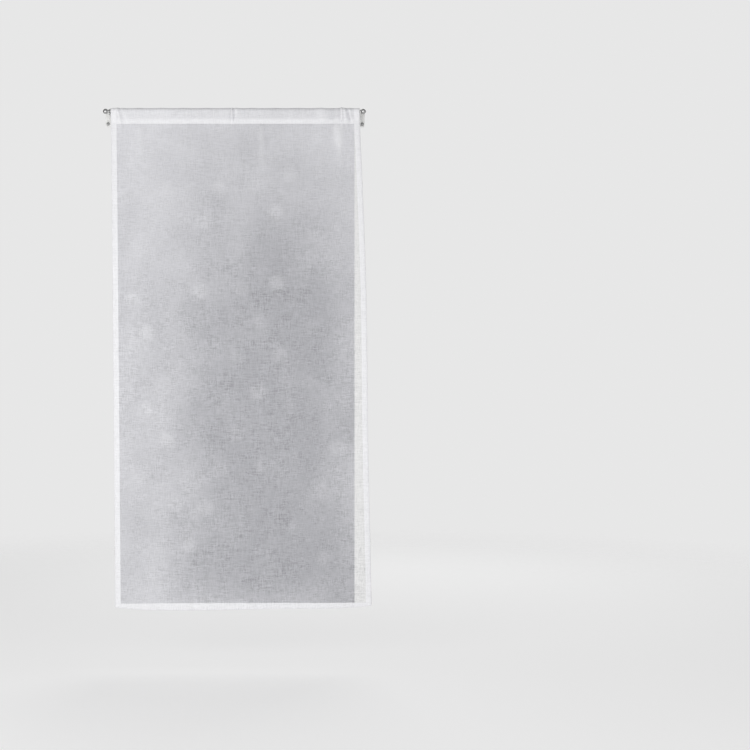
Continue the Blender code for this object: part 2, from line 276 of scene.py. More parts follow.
# Brackets. Each is one small white moulding: a plate with soft edges that is screwed down at its
# foot, and a thin arm at its inner side whose open cradle carries the neck of the rod's end.

PLATE_WIDTH = 12 * MM
PLATE_THICKNESS = 2 * MM
PLATE_CORNER = 3 * MM
CORNER_STEPS = 8
EDGE_ROUND = 0.35 * MM
ARM_SHIFT = 3.8 * MM
ARM_THICKNESS = 2 * MM
ARM_ROOT = (-8.5 * MM, -3 * MM)
ARM_LAP = 1 * MM
CRADLE_INNER = 3.35 * MM
CRADLE_OUTER = 5.35 * MM
CRADLE_LIP = 2.5 * MM
CRADLE_MOUTH = math.radians(25)
CRADLE_STEPS = 20
SCREW_DROP = 27.5 * MM
HOLE_RADIUS = 2.1 * MM
HOLE_REACH = 5 * MM
HOLE_SIDES = 40
EDGE_STEPS = 3
EDGE_SHARP = math.radians(50)
MOULDED_WHITES = ((0.80, 0.80, 0.785, 1.0), (0.85, 0.85, 0.84, 1.0))
MOULDED_CLOUD = 6 * MM
CLOUD_RANGE = (0.3, 0.7)
MOULDED_ROUGHNESS = (0.34, 0.46)
RIPPLE = 0.5 * MM
RIPPLE_STRENGTH = 0.15
RIPPLE_DEPTH = 0.03 * MM


def white_moulding():
    """Smooth white plastic with the faint ripple of a mould and a slight unevenness of shine."""
    made, shader, place = finish_of("white_moulded_plastic", {"Specular IOR Level": 0.45})
    cloud = place.noise((MOULDED_CLOUD, MOULDED_CLOUD, MOULDED_CLOUD), detail=3.0)
    ripple = place.noise((RIPPLE, RIPPLE, RIPPLE), detail=1.0)
    cloud.mix(*MOULDED_WHITES).into(shader, "Base Color")
    cloud.ramp(*CLOUD_RANGE, *MOULDED_ROUGHNESS).into(shader, "Roughness")
    ripple.bump(RIPPLE_STRENGTH, RIPPLE_DEPTH).into(shader, "Normal")
    return made


def slab(outline, thickness, material, name):
    """A plate of the given outline, pushed along thickness, with all its edges rounded a little."""
    count = len(outline)
    points = [*outline, *(tuple(np.add(p, thickness)) for p in outline)]
    sides = [(k, (k + 1) % count, count + (k + 1) % count, count + k) for k in range(count)]
    piece = add_piece(name, points, [range(count), range(count, 2 * count), *sides], material)
    edges = piece.modifiers.new("soft_edges", "BEVEL")
    edges.width, edges.segments = EDGE_ROUND, EDGE_STEPS
    edges.limit_method, edges.angle_limit = "ANGLE", EDGE_SHARP
    return piece


def shaped(piece, other, operation):
    """Unites piece with other or cuts other away from it, and keeps only the result."""
    step = piece.modifiers.new(operation, "BOOLEAN")
    step.operation, step.object = operation, other
    whole = piece.evaluated_get(bpy.context.evaluated_depsgraph_get())
    mesh = bpy.data.meshes.new_from_object(whole)
    piece.modifiers.clear()
    piece.data = mesh
    bpy.data.objects.remove(other)


def plate_outline(x, foot, top):
    """Front view of the plate, with its four corners rounded."""
    half_width, rounds = PLATE_WIDTH / 2 - PLATE_CORNER, []
    for side, z, start in ((1, top, 0), (-1, top, 90), (-1, foot, 180), (1, foot, 270)):
        inward = -PLATE_CORNER if z == top else PLATE_CORNER
        for k in range(CORNER_STEPS + 1):
            angle = math.radians(start + 90 * k / CORNER_STEPS)
            u, v = PLATE_CORNER * math.cos(angle), PLATE_CORNER * math.sin(angle)
            rounds.append((x + side * half_width + u, 0.0, z + inward + v))
    return rounds


def arm_outline(x):
    """Side view of the arm, from the plate to the cradle and back along its underside."""
    root_y, rod_y = ARM_LAP - PLATE_THICKNESS, ROD_AXIS[1]
    low, high = ARM_ROOT
    yz = [(root_y, high), (rod_y + CRADLE_OUTER, high), (rod_y + CRADLE_OUTER, CRADLE_LIP)]
    yz.append((rod_y + CRADLE_INNER, CRADLE_LIP))
    sweep = math.pi - CRADLE_MOUTH
    for k in range(CRADLE_STEPS + 1):
        angle = -sweep * k / CRADLE_STEPS
        yz.append((rod_y + CRADLE_INNER * math.cos(angle), CRADLE_INNER * math.sin(angle)))
    for k in range(CRADLE_STEPS // 2 + 1):
        angle = -sweep + (sweep - math.pi / 2) * k / (CRADLE_STEPS // 2)
        yz.append((rod_y + CRADLE_OUTER * math.cos(angle), CRADLE_OUTER * math.sin(angle)))
    yz.append((root_y, low))
    return [(x - ARM_THICKNESS / 2, y, z) for y, z in yz]


MOULDING = white_moulding()
for side, inward in (("left", 1), ("right", -1)):
    low, high = (np.array(corner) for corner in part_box("bracket_" + side))
    x = (low[0] + high[0]) / 2
    outline = plate_outline(x, low[2], high[2])
    plate = slab(outline, (0, -PLATE_THICKNESS, 0), MOULDING, "plate_bracket_" + side)
    arm = slab(arm_outline(x + inward * ARM_SHIFT), (ARM_THICKNESS, 0, 0), MOULDING, "arm")
    shaped(plate, arm, "UNION")
    drill = [(-HOLE_REACH, 0.0), (-HOLE_REACH, HOLE_RADIUS), (HOLE_REACH, HOLE_RADIUS), (HOLE_REACH, 0.0)]
    hole = add_piece("hole", *turned(drill, HOLE_SIDES, (x, 0, -SCREW_DROP), (0, 1, 0)), MOULDING)
    shaped(plate, hole, "DIFFERENCE")
    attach(plate, "root")
    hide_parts("bracket_" + side)


# Screws. A short zinc-plated screw with a domed head and a cross recess holds each plate at its foot.
# Its shank is only as long as the plate is thick, because nothing behind the plate is built.

HEAD_RADIUS = 4.0 * MM
HEAD_RISE = 2.2 * MM
HEAD_RIM = 0.5 * MM
HEAD_GAP = 0.3 * MM
HEAD_SEAT = -PLATE_THICKNESS - HEAD_GAP
HEAD_UNDERCUT = 0.98
HEAD_STEPS = 10
HEAD_SIDES = 48
SHANK_RADIUS = 1.7 * MM
RECESS_REACH = 2.3 * MM
RECESS_WIDTH = 0.45 * MM
RECESS_DEPTH = 1.3 * MM
RECESS_LEAD = 0.5 * MM
RECESS_TAPER = 0.45

# How far each screw's cross is turned, in radians
SCREW_TURNS = (("left", 0.35), ("right", 1.1))


def screw_profile():
    """Rows of (Y, radius) from the crown of the head to the end of the shank."""
    rim = HEAD_SEAT - HEAD_RIM
    rows = [(rim - (HEAD_RISE - HEAD_RIM), 0.0)]
    for k in range(1, HEAD_STEPS + 1):
        angle = math.pi / 2 * k / HEAD_STEPS
        rows.append((rim - (HEAD_RISE - HEAD_RIM) * math.cos(angle), HEAD_RADIUS * math.sin(angle)))
    rows += [(HEAD_SEAT, HEAD_RADIUS * HEAD_UNDERCUT), (HEAD_SEAT, SHANK_RADIUS)]
    return [*rows, (0, SHANK_RADIUS), (0, 0)]


def recess(x, turn):
    """One blade of the cross, wider at its mouth than at its floor, turned about the screw's axis."""
    crown = HEAD_SEAT - HEAD_RISE - RECESS_LEAD
    floor = HEAD_SEAT - HEAD_RISE + RECESS_DEPTH
    points = []
    for y, reach in ((crown, RECESS_REACH), (floor, RECESS_REACH * RECESS_TAPER)):
        for u, v in ((-1, -1), (1, -1), (1, 1), (-1, 1)):
            along, over = u * reach, v * RECESS_WIDTH
            points.append((
                x + along * math.cos(turn) - over * math.sin(turn),
                y,
                -SCREW_DROP + along * math.sin(turn) + over * math.cos(turn),
            ))
    faces = [(0, 1, 2, 3), (4, 5, 6, 7), *((k, (k + 1) % 4, 4 + (k + 1) % 4, 4 + k) for k in range(4))]
    return add_piece("recess", points, faces, ZINC)


ZINC = polished_metal("zinc_plating", dark=0.30, light=0.40, dull=0.36)
for side, turn in SCREW_TURNS:
    low, high = (np.array(corner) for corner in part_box("screw_" + side))
    x = (low[0] + high[0]) / 2
    shape = turned(screw_profile(), HEAD_SIDES, (x, 0, -SCREW_DROP), (0, 1, 0))
    head = add_piece("screw_head_" + side, *shape, ZINC, "screw_" + side, TURNED_SHARP)
    for blade in (turn, turn + math.pi / 2):
        shaped(head, recess(x, blade), "DIFFERENCE")


# Curtain. One length of fine white polyester voile with slubs in its yarns and soft round dots woven
# denser. Side and lower edges are turned twice and stitched. The top is folded back into a pocket for
# the rod, its raw edge turned under and sewn down, and it is pushed together a little at the right.

THREAD_BODY = 0.3 * MM
FACE_Y = -1.35 * MM

# Pocket: round the rod and down to its stitches, with a strip turned under inside it. Its back layer
# and the strip are sewn down POCKET_BACK and STRIP_BACK behind the rod's axis, the strip stays off the
# back layer by STRIP_GAP, and UNDER_TURN is the fold between the two, in (depth, height) points.
POCKET_RADIUS = 7.35 * MM
POCKET_LEAN = math.radians(12)
STITCH_DROP = 30 * MM
POCKET_BACK = 1.6 * MM
STRIP_BACK = 0.9 * MM
STRIP_GAP = 0.7 * MM
UNDER_TURN = ((1.0 * MM, -31.0 * MM), (1.25 * MM, -31.4 * MM), (1.5 * MM, -31.0 * MM))
STRIP_ROWS = 5
BACK_ROWS = 9
OVER_ROWS = 25
FRONT_ROWS = 13

# Top of the pocket: how far its edge rises and dips, in so many waves, and bulges over the folds, and
# how deep a trough gets before the rod stops it
TOP_LIFT = 0.5 * MM
TOP_DIP = 0.2 * MM
TOP_WAVES = 11
PUFF_SHARE = 0.35
FOLD_INTO_ROD = 0.8 * MM

# Layers that lie together in the pocket, in its turned-under band and in the hems. Over the folds the
# count also holds painted light and shade: more layers where a fold is raised, fewer in its trough.
POCKET_LAYERS = 2.0
BAND_DROP = 15 * MM
BAND_BLEND = 9 * MM
BAND_LAYER = 0.8
HEM_LAYERS = 3.0
PAINTED_FOLD_SHADING = 0.3 / MM
PAINTED_FOLD_SHADING_MOST = 1.0

# Both side edges at a distance below the rod's axis, in millimetres
DROPS = (-10, 30, 120, 260, 400, 620, 760, 1050, 1200)
LEFT_EDGE = (10.1, 10.3, 11.1, 12.4, 13.7, 15.7, 17.0, 19.7, 21.0)
RIGHT_EDGE = (606.4, 607.2, 611.2, 617.1, 621.9, 625.5, 626.7, 632.7, 636.1)

# Lower edge: share of the width, and its distance below the rod's axis in millimetres
EDGE_SHARES = (0.00, 0.10, 0.25, 0.41, 0.56, 0.72, 0.87, 0.97, 1.00)
EDGE_DROPS = (1190.2, 1195.6, 1197.6, 1196.7, 1194.3, 1193.3, 1191.9, 1188.3, 1185.6)

# Soft ridges, or troughs where depth is negative, in millimetres along the heading. A fold starts at
# top, is whole FOLD_RISE lower and down to whole, and is gone at gone. Lean is how far it moves to
# the right for each millimetre of drop.
FOLD_RISE = 20
FOLDS = (
    # across, half_width, depth, top, whole, gone, lean
    (17, 2.6, 2.4, -20, 20, 50, 0.20),
    (22, 2.6, -1.6, -20, 18, 45, 0.30),
    (30, 3.6, 1.2, -20, 16, 40, 0.40),
    (67, 12, 2.2, 25, 60, 170, 0.02),
    (84, 8, -0.8, 28, 50, 130, 0.03),
    (120, 5, 0.5, -20, 10, 40, 0.00),
    (205, 6, 0.5, -20, 12, 50, -0.05),
    (286.5, 3.0, -1.0, -20, 24, 60, -0.06),
    (290.6, 2.0, 2.8, -20, 14, 30, 0.02),
    (294.4, 1.5, -3.4, -20, 14, 28, 0.03),
    (301.0, 3.4, 2.8, -20, 0, 16, 0.00),
    (358, 11, 2.2, 25, 60, 200, 0.02),
    (375, 8, -0.9, 28, 60, 170, 0.02),
    (430, 6, 0.5, -20, 14, 45, 0.05),
    (505, 7, 0.9, -20, 30, 150, 0.00),
    (530, 8, -1.3, -20, 30, 110, -0.02),
    (541, 16, 4.6, 18, 46, 110, 0.02),
    (545, 7, 1.6, 40, 80, 200, 0.02),
    (548.0, 2.4, -2.2, -20, 22, 40, 0.00),
    (553.0, 3.0, 4.2, -20, 20, 40, 0.02),
    (560.5, 2.6, 1.8, -20, 20, 60, 0.16),
    (566.8, 2.2, -4.2, -20, 18, 36, 0.26),
    (573, 3.0, 1.6, -20, 24, 80, 0.24),
    (586, 4.6, 2.0, 10, 50, 200, 0.05),
)

# Wide slow waves in millimetres. Slant is how far a wave moves sideways for each millimetre of drop.
WAVES = (
    # length, slant, start, height
    (410, 0.10, 60, 1.7),
    (233, -0.16, 20, 1.0),
    (137, 0.07, 90, 0.5),
    (61, -0.11, 10, 0.18),
)
WAVES_FULL = 260 * MM

# Double-turned hem, from its raw edge to the face of the cloth: how far in from the edge, and how far
# behind the face, in millimetres
HEM_TURN = (
    # inset, behind
    (3.0, 0.55),
    (12.2, 0.55),
    (12.8, 0.80),
    (12.2, 1.05),
    (6.0, 1.05),
    (0.5, 1.05),
    (0.0, 0.52),
    (0.5, 0.00),
    (6.0, 0.00),
    (12.8, 0.00),
)
HEM_WIDTH = 12.8 * MM
HEM_END = 13.4 * MM

# Lower hem: its inner fold's distance below the rod's axis, at the left end and at the right, how far
# above the fold its layers begin, and its depth against a side hem's
HEM_FOLD = (1181.5 * MM, 1179.5 * MM)
HEM_START = 0.5 * MM
LOWER_HEM_DEPTH = 1.35

# Columns of the face between the hems and rows of the face below the pocket, in millimetres
FACE_COLUMNS = (
    # start, end, steps
    (13.4, 32, 8),
    (32, 100, 14),
    (100, 276, 32),
    (276, 284, 5),
    (284, 300, 16),
    (300, 306, 3),
    (306, 340, 7),
    (340, 386, 10),
    (386, 520, 24),
    (520, 583, 34),
)
FACE_ROWS = (
    # start, end, steps
    (30.6, 130, 28),
    (130, 420, 58),
    (420, 1163.8, 126),
    (1163.8, 1165, 1),
)

# Where light reaches a single layer, from and to in metres: towards the side edges, the heading and
# the foot, and most of all in the margin beside the right hem. The light of the right side fades
# towards the foot, and that of the foot towards the right.
LIT_LEFT = (0.05, 0.37)
LIT_RIGHT = (0.46, 0.62)
LIT_TOP = (-0.52, 0.05)
LIT_FOOT = (-1.25, -1.10)
RIGHT_FADE = (-1.15, -0.98)
FOOT_FADE = (0.42, 0.56)
MARGIN = (0.5925, 0.5965)

# How dim the left edge and the heading stay, and how much light the right side and the foot add
LEFT_DIM = 0.41
TOP_DIM = 0.36
RIGHT_LIGHT = 0.36
FOOT_LIGHT = (0.6, 0.25)
LIGHT_CLOUD = (90 * MM, 90 * MM, 120 * MM)
CLOUD_LIGHT = 0.6

# Colours of a single layer out of the light and in it, of a dot, of the margin and of many layers
DIM_LAYER = grey(0.46, 0.027)
LIT_LAYER = grey(0.785, 0.028)
DOT_WHITE = grey(0.88, 0.02)
DOT_WHITENS = 0.165
MARGIN_PAINTED_LIGHT = grey(0.835, 0.0)
MANY_LAYERS = grey(0.865, 0.02)

# Weave: thick places in the yarns across and down the cloth, and a fine nap, each with the size of
# its grains and its share. They darken and lighten the cloth from and to a share of its colour.
WEFT_SLUB = (17 * MM, 8 * MM, 1.6 * MM)
WARP_SLUB = (1.6 * MM, 8 * MM, 17 * MM)
NAP = (2.6 * MM, 8 * MM, 2.6 * MM)
WEFT_SHARE = 0.44
WARP_SHARE = 0.38
NAP_SHARE = 0.18
SLUB_RANGE = (0.38, 0.58)
SLUB_TONES = (-0.33, 0.12)

# Where the weave shows less: in patches, towards the heading, in the light, in layers and the margin
PATCH = 30 * MM
PATCH_RANGE = (0.35, 0.65)
PATCH_SHARES = (0.35, 1.0)
HEADING_RANGE = (-0.5, 0.0)
HEADING_SHARES = (1.0, 0.45)
LIT_SMOOTHS = 0.55
LAYERS_SMOOTH = 0.7
MARGIN_SMOOTHS = 0.5

# How much of what is behind the cloth it covers: between its yarns and at them, and more in dots and
# layers
YARN_RANGE = (0.3, 0.7)
YARN_COVER = (0.78, 0.92)
DOT_COVERS = 0.06
LAYERS_COVER = 0.1
YARN_STRENGTH = 0.5
YARN_HEIGHT = 0.12 * MM

# Dots: their radius, how many radii their soft rim reaches, and how uneven it is. Their middles on the
# hung cloth are given from the left bracket and down from the rod, in millimetres.
DOT_RADIUS = 18 * MM
DOT_REACH = 1.95
DOT_EDGE = (0.1, 0.85)
DOT_GRAIN = 5 * MM
DOT_UNEVEN = 0.2
DOTS = (
    # right, down, strength
    (404, 242, 0.8), (233, 266, 0.8), (409, 412, 1.0), (226, 431, 0.8), (97, 532, 1.0),
    (62, 451, 0.8), (363, 676, 1.0), (94, 714, 0.8), (144, 789, 1.0), (552, 808, 0.8),
    (166, 940, 0.8), (236, 952, 1.0), (195, 1041, 1.0), (521, 1072, 0.6), (507, 909, 0.5),
    (372, 849, 0.6), (372, 506, 0.4), (440, 153, 0.8), (269, 182, 0.8), (325, 424, 0.5),
    (416, 583, 0.6), (560, 117, 0.3), (495, 300, 0.3), (567, 430, 0.3), (485, 645, 0.3),
    (307, 774, 0.4), (67, 330, 0.3), (137, 190, 0.3), (451, 999, 0.3), (311, 590, 0.3),
    (77, 870, 0.3), (323, 1106, 0.3), (567, 690, 0.3), (103, 1110, 0.3), (487, 520, 0.3),
    (271, 865, 0.4),
)


def smooth_curve(places, values, at):
    """Values at many places on the smooth curve through the given points."""
    places, values = np.array(places, float), np.array(values, float)
    slopes = np.gradient(values, places)
    i = np.clip(np.searchsorted(places, at) - 1, 0, len(places) - 2)
    span, rise = places[i + 1] - places[i], values[i + 1] - values[i]
    t = (at - places[i]) / span
    near, far = slopes[i] * span, slopes[i + 1] * span
    return values[i] + t * near + t**2 * (3 * rise - 2 * near - far) + t**3 * (near + far - 2 * rise)


def soft_step(low, high, value):
    """0 up to low, 1 from high on, and a smooth rise between."""
    share = np.clip((value - low) / (high - low), 0.0, 1.0)
    return share * share * (3 - 2 * share)


def spaced(spans):
    """Places in metres, evenly spaced within each (start, end, steps) row of millimetres."""
    places = [spans[0][0] * MM]
    for start, end, steps in spans:
        places += [(start + (end - start) * k / steps) * MM for k in range(1, steps + 1)]
    return np.array(places)


def edge_x(share, drop):
    """X at a share of the cloth's width, from 0 on the left to 1 on the right."""
    left = smooth_curve(DROPS, LEFT_EDGE, drop / MM)
    return (left + share * (smooth_curve(DROPS, RIGHT_EDGE, drop / MM) - left)) * MM


def lower_edge(share):
    """Distance of the lower edge below the rod's axis."""
    return smooth_curve(EDGE_SHARES, EDGE_DROPS, share) * MM


def hem_fold(share):
    """Distance of the lower hem's inner fold below the rod's axis."""
    return HEM_FOLD[0] + (HEM_FOLD[1] - HEM_FOLD[0]) * share


def fold_depth(across, drop):
    """How far the folds of the heading push the cloth towards the room."""
    depth, x, d = 0.0, across / MM, drop / MM
    for place, half_width, height, top, whole, gone, lean in FOLDS:
        strength = soft_step(top, top + FOLD_RISE, d) * (1 - soft_step(whole, gone, d))
        depth = depth + height * strength * np.exp(-(((x - place - lean * d) / half_width) ** 2))
    return depth * MM


def push(across, drop):
    """How far the folds and the waves together push the cloth towards the room."""
    depth, x, d = fold_depth(across, drop) / MM, across / MM, drop / MM
    swing = soft_step(STITCH_DROP / MM, WAVES_FULL / MM, d)
    for length, slant, start, height in WAVES:
        depth = depth + height * swing * np.sin(math.tau * (x - start + slant * d) / length)
    return depth * MM


HEADING = float(edge_x(1.0, 0.0) - edge_x(0.0, 0.0))


def pocket_rows():
    """The cloth's path (y, z) round the rod, from the turned-under strip's raw edge to the stitches, and
    how much each row of it faces the room, from 0 to 1."""
    arc = np.linspace(-POCKET_LEAN, math.pi + POCKET_LEAN, OVER_ROWS)
    over = np.stack([np.cos(arc), np.sin(arc)], 1) * POCKET_RADIUS
    back_foot, strip_foot = (POCKET_BACK, -STITCH_DROP), (STRIP_BACK, -STITCH_DROP)
    band = 1 - (STITCH_DROP - BAND_DROP) / (STITCH_DROP + over[0][1])
    strip_top = np.array(strip_foot) + (over[0] - (STRIP_GAP, 0) - strip_foot) * (1 - band)
    strip = np.linspace(strip_top, strip_foot, STRIP_ROWS)
    back = np.linspace(back_foot, over[0], BACK_ROWS)[:-1]
    front = np.linspace(over[-1], (FACE_Y, -STITCH_DROP), FRONT_ROWS)[1:]
    inside = np.zeros(len(strip) + len(UNDER_TURN) + len(back))
    facing = np.concatenate([inside, (1 - np.cos(arc)) / 2, np.ones(len(front))])
    return np.vstack([strip, UNDER_TURN, back, over, front]), facing


def ruffle(z, depth, front):
    """How far folds of this depth move the rows: freely at the front, and sewn together at the foot."""
    sewn = soft_step(ROD_RADIUS, STITCH_DROP, -z)
    out = np.maximum(sewn, front) * depth
    into = np.minimum(sewn * depth, front * np.maximum(depth, -FOLD_INTO_ROD))
    return np.where(depth > 0, out, into)


def normals_of(path):
    """Direction of the cloth's back at each row: inside the pocket, and away from the room below it."""
    run = np.gradient(path, axis=0)
    run /= np.linalg.norm(run, axis=1)[:, None]
    return np.stack([-run[:, 1], run[:, 0]], 1)


def cloth_columns():
    """Each column's share of the width, inset from that edge, depth behind the face, and if it is hem."""
    left = [(0.0, inset * MM, behind * MM, 1.0) for inset, behind in HEM_TURN]
    right = [(1.0, -inset * MM, behind * MM, 1.0) for inset, behind in reversed(HEM_TURN)]
    places = [*spaced(FACE_COLUMNS), HEADING - HEM_END]
    return np.array([*left, *((place / HEADING, 0.0, 0.0, 0.0) for place in places), *right])


def cloth_grid():
    """Points, layer counts with painted fold shading, and dots: a row of each array for each column of the
    cloth.
    """
    pocket, facing = pocket_rows()
    inward = normals_of(pocket)
    face_drops = spaced(FACE_ROWS)
    turn = np.array(HEM_TURN[::-1]) * MM * (1.0, LOWER_HEM_DEPTH)
    front = np.concatenate([facing, np.ones(len(face_drops) + len(turn) - 1)])
    grid, layers_and_fold_shading, fades = [], [], []
    for share, inset, behind, hem in cloth_columns():
        across = share * HEADING + inset
        foot, fold = lower_edge(np.clip(share + inset / HEADING, 0, 1)), hem_fold(share)
        stretch = (fold - STITCH_DROP) / (face_drops[-1] - STITCH_DROP)
        tail_drops = STITCH_DROP + (face_drops - STITCH_DROP) * stretch
        tail_drops = np.concatenate([tail_drops, foot - turn[1:, 0] * (foot - fold) / HEM_WIDTH])
        tail_depth = np.concatenate([np.zeros(len(face_drops)), turn[1:, 1]])
        y = np.concatenate([pocket[:, 0] + inward[:, 0] * behind, FACE_Y + behind + tail_depth])
        z = np.concatenate([pocket[:, 1] + inward[:, 1] * behind, -tail_drops])
        above = np.maximum(z / POCKET_RADIUS, 0.0)
        lift = TOP_LIFT * math.sin(math.tau * TOP_WAVES * across / HEADING) * above
        puff = np.maximum(push(across, 0.0), 0.0) * PUFF_SHARE * above
        y = y - puff * (1 - y / POCKET_RADIUS) / 2
        z = z + (np.maximum(lift, -TOP_DIP) + puff) * above
        y = y - ruffle(z, push(across, -z), front)
        x = edge_x(share, -z) + inset
        grid.append(np.stack([x, ROD_AXIS[1] + y, z], 1))
        band = BAND_LAYER * soft_step(BAND_DROP, BAND_DROP + BAND_BLEND, -pocket[:, 1])
        tail_layers = 1.0 + (HEM_LAYERS - 1.0) * (tail_drops > fold - HEM_START)
        laid = np.maximum(np.concatenate([POCKET_LAYERS + band, tail_layers]), HEM_LAYERS * hem)
        # Painted light and shade of the folds: counted as more layers where a fold is raised, fewer in its
        # trough.
        painted_fold_shading = np.clip(fold_depth(across, -z) * PAINTED_FOLD_SHADING, -PAINTED_FOLD_SHADING_MOST, PAINTED_FOLD_SHADING_MOST) * front
        layers_and_fold_shading.append(laid + painted_fold_shading)
        fades.append(dot_field(x, z))
    return np.array(grid), np.array(layers_and_fold_shading), np.array(fades)


def dot_field(x, z):
    """Two columns: 1 at the middle of a dot falling softly to 0 at DOT_REACH radii, and its strength."""
    right, down, strength = np.array(DOTS).T
    far = np.hypot(x[:, None] - right * MM, -z[:, None] - down * MM)
    near = 1 - soft_step(0.0, DOT_RADIUS * DOT_REACH, far.min(1))
    return np.stack([near, strength[far.argmin(1)]], 1)


def voile():
    """Sheer polyester voile: slubby warp and weft, soft dots, whiter where plies lie together, and painted
    light and shade on its folds.

    A single layer reads greyer towards the middle, where less light reaches it from the sides.
    """
    plain = {"Roughness": 0.85, "Specular IOR Level": 0.2, "Sheen Weight": 0.15, "Sheen Roughness": 0.5}
    made, shader, place = finish_of("dotted_voile", plain)
    layers_and_fold_shading = place.node("ShaderNodeAttribute", {"attribute_name": "layers_and_fold_shading"}, output="Fac")
    field = place.node("ShaderNodeAttribute", {"attribute_name": "dots"}, output="Fac")
    strength = place.node("ShaderNodeAttribute", {"attribute_name": "dot_strength"}, output="Fac")
    weft = place.noise(WEFT_SLUB, detail=3.0, roughness=0.65)
    warp = place.noise(WARP_SLUB, detail=3.0, roughness=0.65)
    nap = place.noise(NAP, detail=2.0, roughness=0.7)
    slubs = weft * WEFT_SHARE + warp * WARP_SHARE + nap * NAP_SHARE
    cloud = place.noise(LIGHT_CLOUD)
    grain = place.noise((DOT_GRAIN, DOT_GRAIN, DOT_GRAIN), roughness=0.6)
    dots = (field + (grain - 0.5) * DOT_UNEVEN).ramp(*DOT_EDGE) * strength
    # The layer count whitens the cloth, and over the folds it carries their painted light and shade.
    dense_and_fold_shading = layers_and_fold_shading.ramp(1.0, HEM_LAYERS)
    across = place.node("ShaderNodeSeparateXYZ", {}, {0: place}, "X")
    height = place.node("ShaderNodeSeparateXYZ", {}, {0: place}, "Z")
    # Painted light and shade: a single layer's colour is lighter towards the left edge, the heading, the
    # foot and the right margin, and greyer in the middle, with a cloud of painted light over it.
    dim = across.ramp(*LIT_LEFT, LEFT_DIM, 1.0) * height.ramp(*LIT_TOP, 1.0, TOP_DIM)
    dim = dim * (1 - across.ramp(*LIT_RIGHT) * height.ramp(*RIGHT_FADE) * RIGHT_LIGHT)
    dim = dim * (1 - height.ramp(*LIT_FOOT, 1.0, 0.0) * across.ramp(*FOOT_FADE, *FOOT_LIGHT))
    margin = across.ramp(*MARGIN)
    lit = place.node("ShaderNodeClamp", {}, {"Value": 1 - dim + (cloud - 0.5) * CLOUD_LIGHT})
    single = (dots * DOT_WHITENS).mix(lit.mix(DIM_LAYER, LIT_LAYER), DOT_WHITE)
    colour = dense_and_fold_shading.mix(margin.mix(single, MARGIN_PAINTED_LIGHT), MANY_LAYERS)
    patch = place.noise((PATCH, PATCH, PATCH), roughness=0.6).ramp(*PATCH_RANGE, *PATCH_SHARES)
    fine = height.ramp(*HEADING_RANGE, *HEADING_SHARES) * (1 - lit * LIT_SMOOTHS)
    fine = fine * (1 - dense_and_fold_shading * LAYERS_SMOOTH) * (1 - margin * MARGIN_SMOOTHS)
    tone = slubs.ramp(*SLUB_RANGE, *SLUB_TONES) * patch * fine + 1.0
    shade = place.node("ShaderNodeCombineXYZ", {}, {"X": tone, "Y": tone, "Z": tone})
    both = {0: colour, 1: shade}
    place.node("ShaderNodeVectorMath", {"operation": "MULTIPLY"}, both).into(shader, "Base Color")
    cover = slubs.ramp(*YARN_RANGE, *YARN_COVER) + dots * DOT_COVERS + dense_and_fold_shading * LAYERS_COVER
    cover.node("ShaderNodeClamp", {}, {"Value": cover}).into(shader, "Alpha")
    slubs.bump(YARN_STRENGTH, YARN_HEIGHT).into(shader, "Normal")
    return made


def sheet_piece(name, grid, material):
    """A piece in place of the solid cloth, with faces between the points of a grid."""
    columns, rows, _ = grid.shape
    ids = np.arange(columns * rows).reshape(columns, rows)
    corners = (ids[:-1, :-1], ids[1:, :-1], ids[1:, 1:], ids[:-1, 1:])
    faces = np.stack([c.ravel() for c in corners], 1)
    return add_piece(name, grid.reshape(-1, 3), faces.tolist(), material, "curtain_panel", 180)


grid, layers_and_fold_shading, fades = cloth_grid()
cloth = sheet_piece("net_cloth", grid, voile())
for name, values in (("layers_and_fold_shading", layers_and_fold_shading), ("dots", fades[:, :, 0]), ("dot_strength", fades[:, :, 1])):
    kept = cloth.data.attributes.new(name, "FLOAT", "POINT")
    kept.data.foreach_set("value", values.ravel())
body = cloth.modifiers.new("thread_body", "SOLIDIFY")
body.thickness, body.offset = THREAD_BODY, 0.0


# Stitching. White polyester thread in short straight stitches holds the side hems, the lower hem and
# the foot of the rod pocket. Each stitch is a low rounded bar, on the face of the cloth or on its back.

STITCH_LENGTH = 2.3 * MM
STITCH_PITCH = 2.9 * MM
STITCH_RADIUS = 0.22 * MM
STITCH_SIDES = 5
STITCH_RINGS = (
    # share of the length, share of the radius
    (0.0, 0.25),
    (0.25, 1.0),
    (0.75, 1.0),
    (1.0, 0.25),
)
STITCH_LIFT = 0.18 * MM

# Seams: the side seams' distance from the edge and how far they stop short of the pocket's seam and of
# the lower edge, the lower seam's distance below the hem's fold, and the pocket's seam below the rod
SIDE_LINE = 11.6 * MM
SIDE_START = 2 * MM
SIDE_SHORTER = 4 * MM
LOWER_LINE = 1.2 * MM
POCKET_LINE = STITCH_DROP - 1 * MM
SEAM_SHORTER = 2 * MM
THREAD_WHITES = (grey(0.84, 0.01), grey(0.93, 0.01))
THREAD_TWIST = 0.25 * MM


def face_point(share, inset, drop, behind):
    """A point of the cloth below the pocket, set behind its face by the given depth."""
    across = share * HEADING + inset
    y = ROD_AXIS[1] + FACE_Y + behind - push(across, drop)
    return np.array((edge_x(share, drop) + inset, y, -drop))


